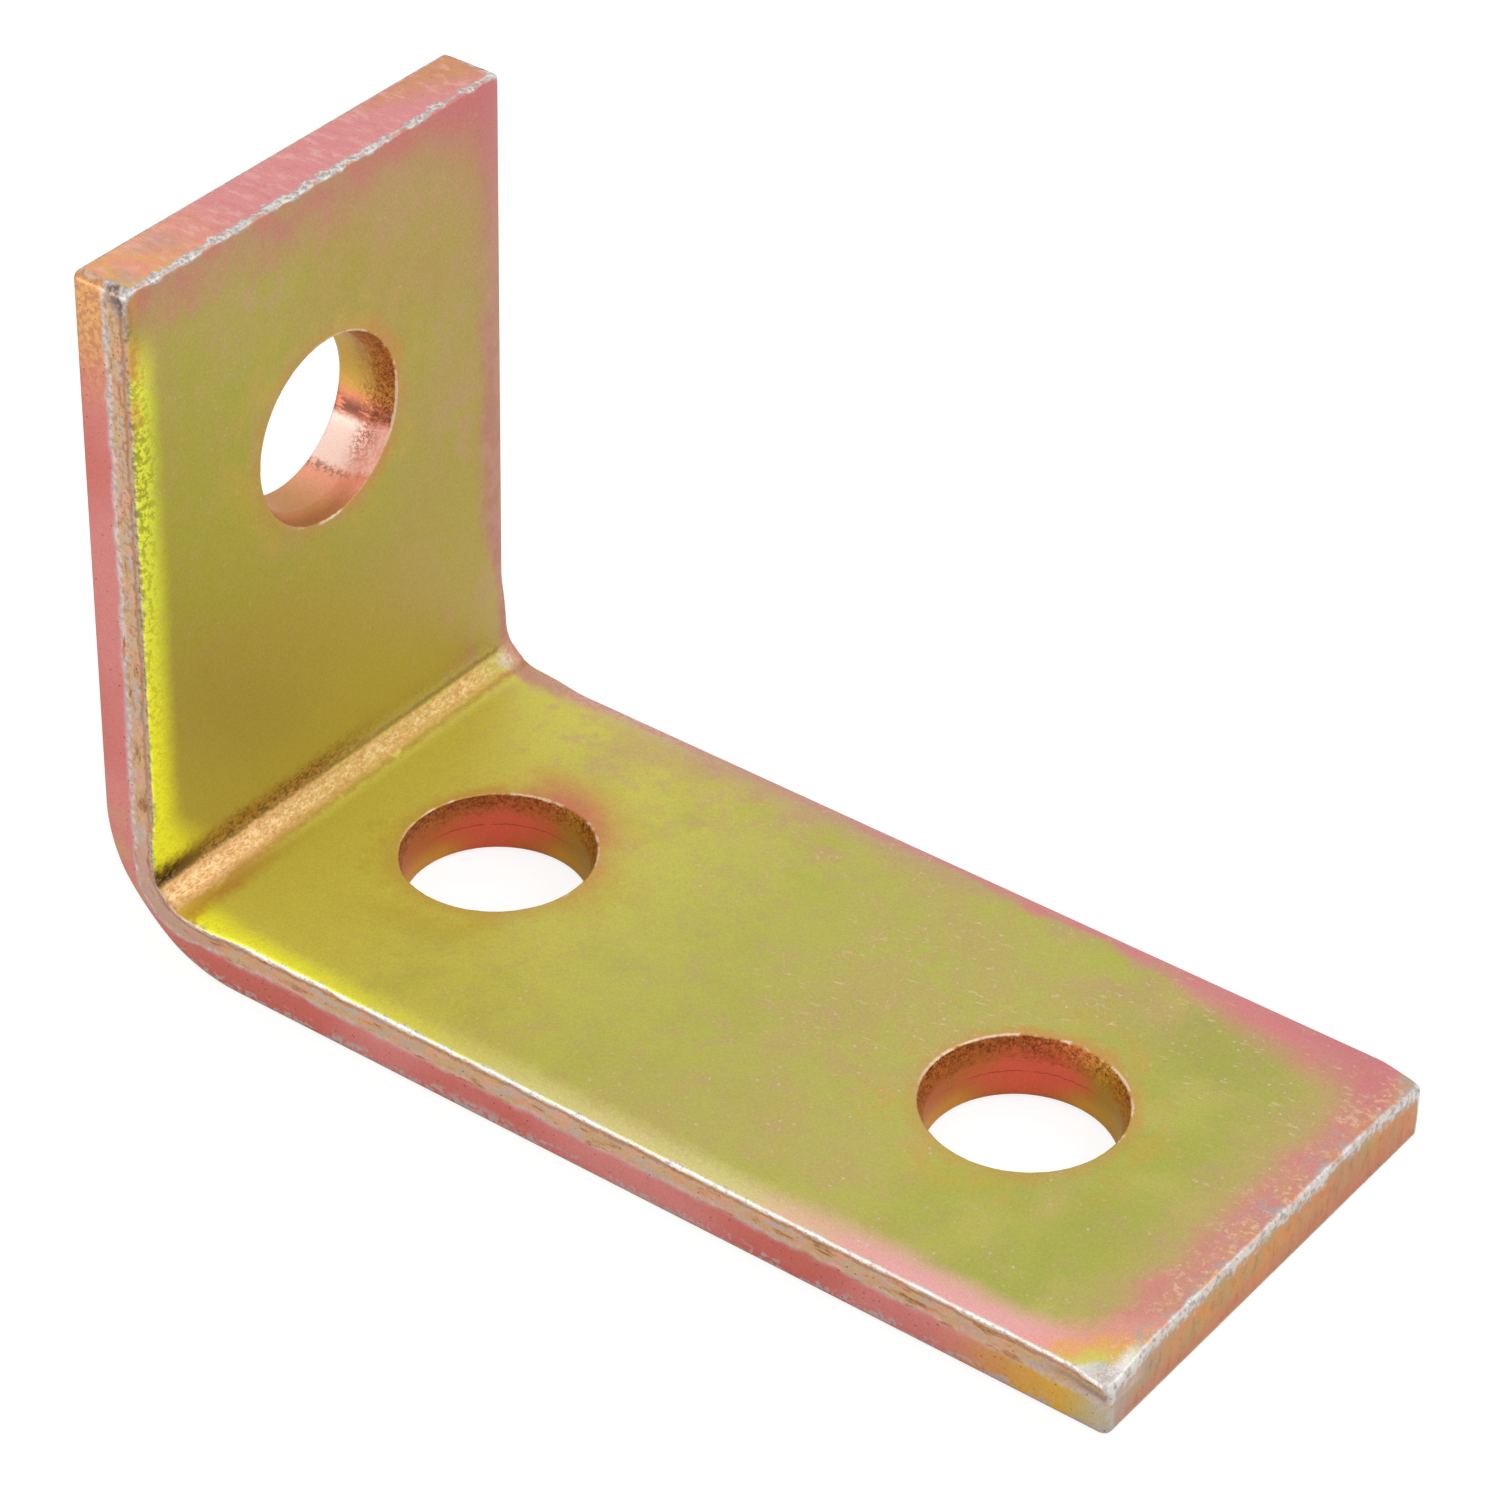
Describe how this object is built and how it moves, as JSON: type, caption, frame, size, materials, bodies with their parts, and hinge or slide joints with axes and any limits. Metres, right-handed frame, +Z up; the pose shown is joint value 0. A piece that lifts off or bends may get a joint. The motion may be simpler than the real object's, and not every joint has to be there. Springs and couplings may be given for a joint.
{
  "type": "angle bracket",
  "caption": "Right-angle bracket folded from one flat steel bar, with punched bolt holes in both legs and an iridescent yellow zinc finish.",
  "frame": {"origin": "centre of the bracket's footprint on the underside of the long leg", "axes": "+Z up from the underside along the short leg, +X from the short leg's back towards the long leg's free end, +Y across the bar"},
  "size_m": [0.0886, 0.0408, 0.0568],
  "materials": {
    "yellow_zinc": "yellow chromate over zinc plate on steel, semi-gloss and iridescent: olive gold on the faces, pink and orange towards the edges, worn silver along the sheared edges"
  },
  "bodies": {
    "root": {"angle_bracket": "yellow_zinc"}
  },
  "joints": []
}
